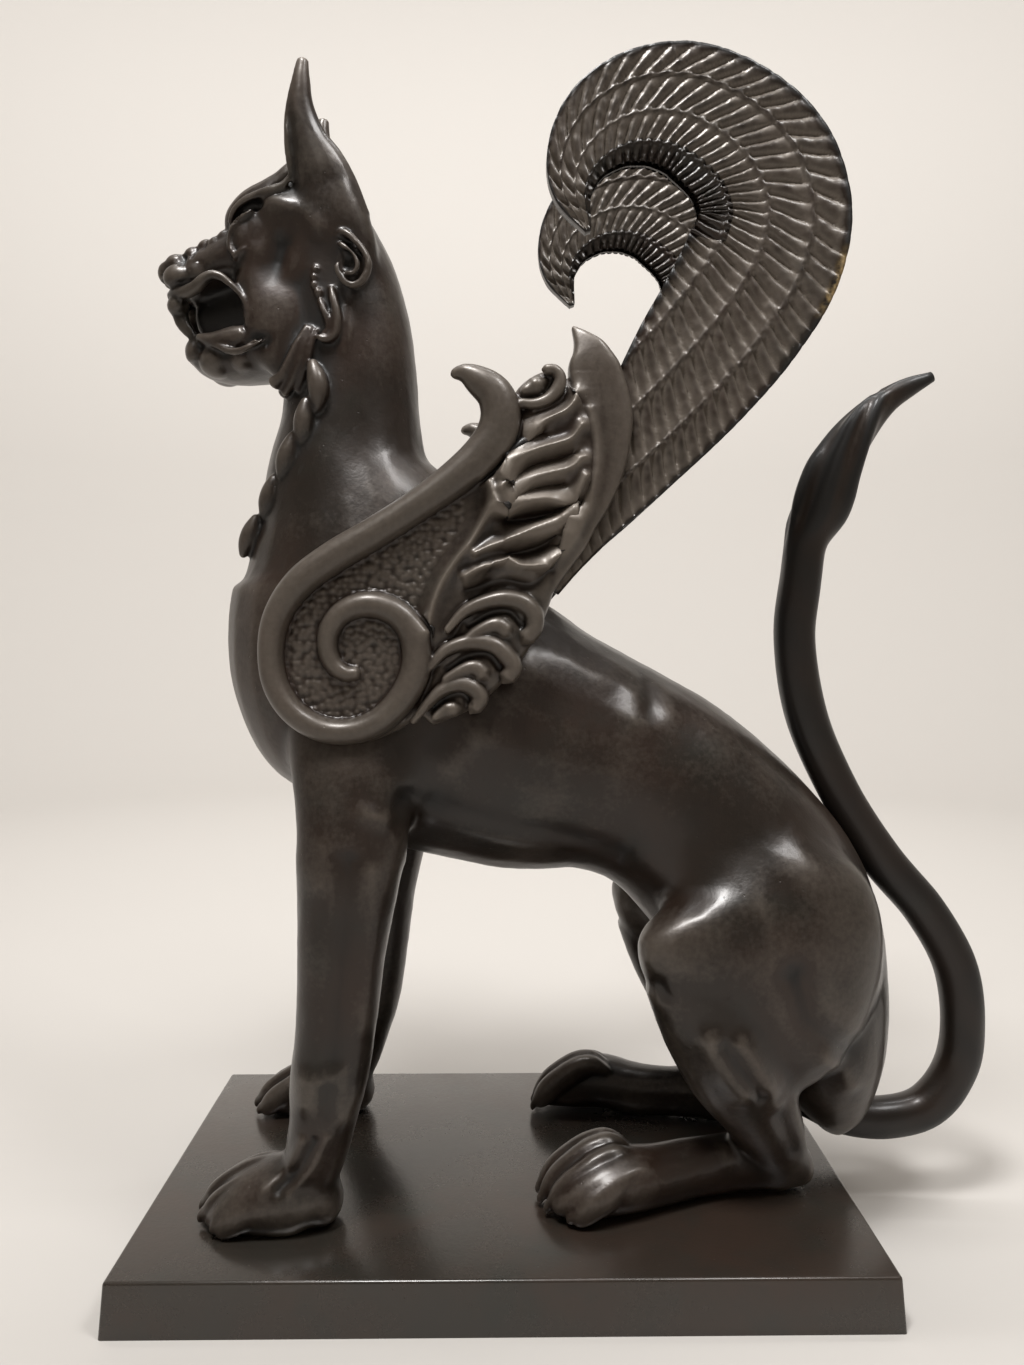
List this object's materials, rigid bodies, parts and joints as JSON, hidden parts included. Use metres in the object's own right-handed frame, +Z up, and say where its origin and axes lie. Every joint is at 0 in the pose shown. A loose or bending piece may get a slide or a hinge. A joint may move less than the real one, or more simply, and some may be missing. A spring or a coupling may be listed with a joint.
{
  "type": "griffin statue",
  "caption": "Seated horned griffin in dark bronze with upswept scrolled wings and a raised tail, on a rectangular plinth plate.",
  "frame": {"origin": "centre of the plinth's underside", "axes": "+Z up, the griffin faces -X, its near side in the picture is -Y"},
  "size_m": [0.629, 0.315, 0.8435],
  "materials": {
    "griffin_bronze": "cast bronze with a near-black brown patina, satin, brighter on the high spots",
    "plinth_bronze": "cast bronze with a dark brown patina, satin, with small pale scuffs along the lower edge"
  },
  "bodies": {
    "root": {"plinth": "plinth_bronze", "griffin": "griffin_bronze"}
  },
  "joints": []
}
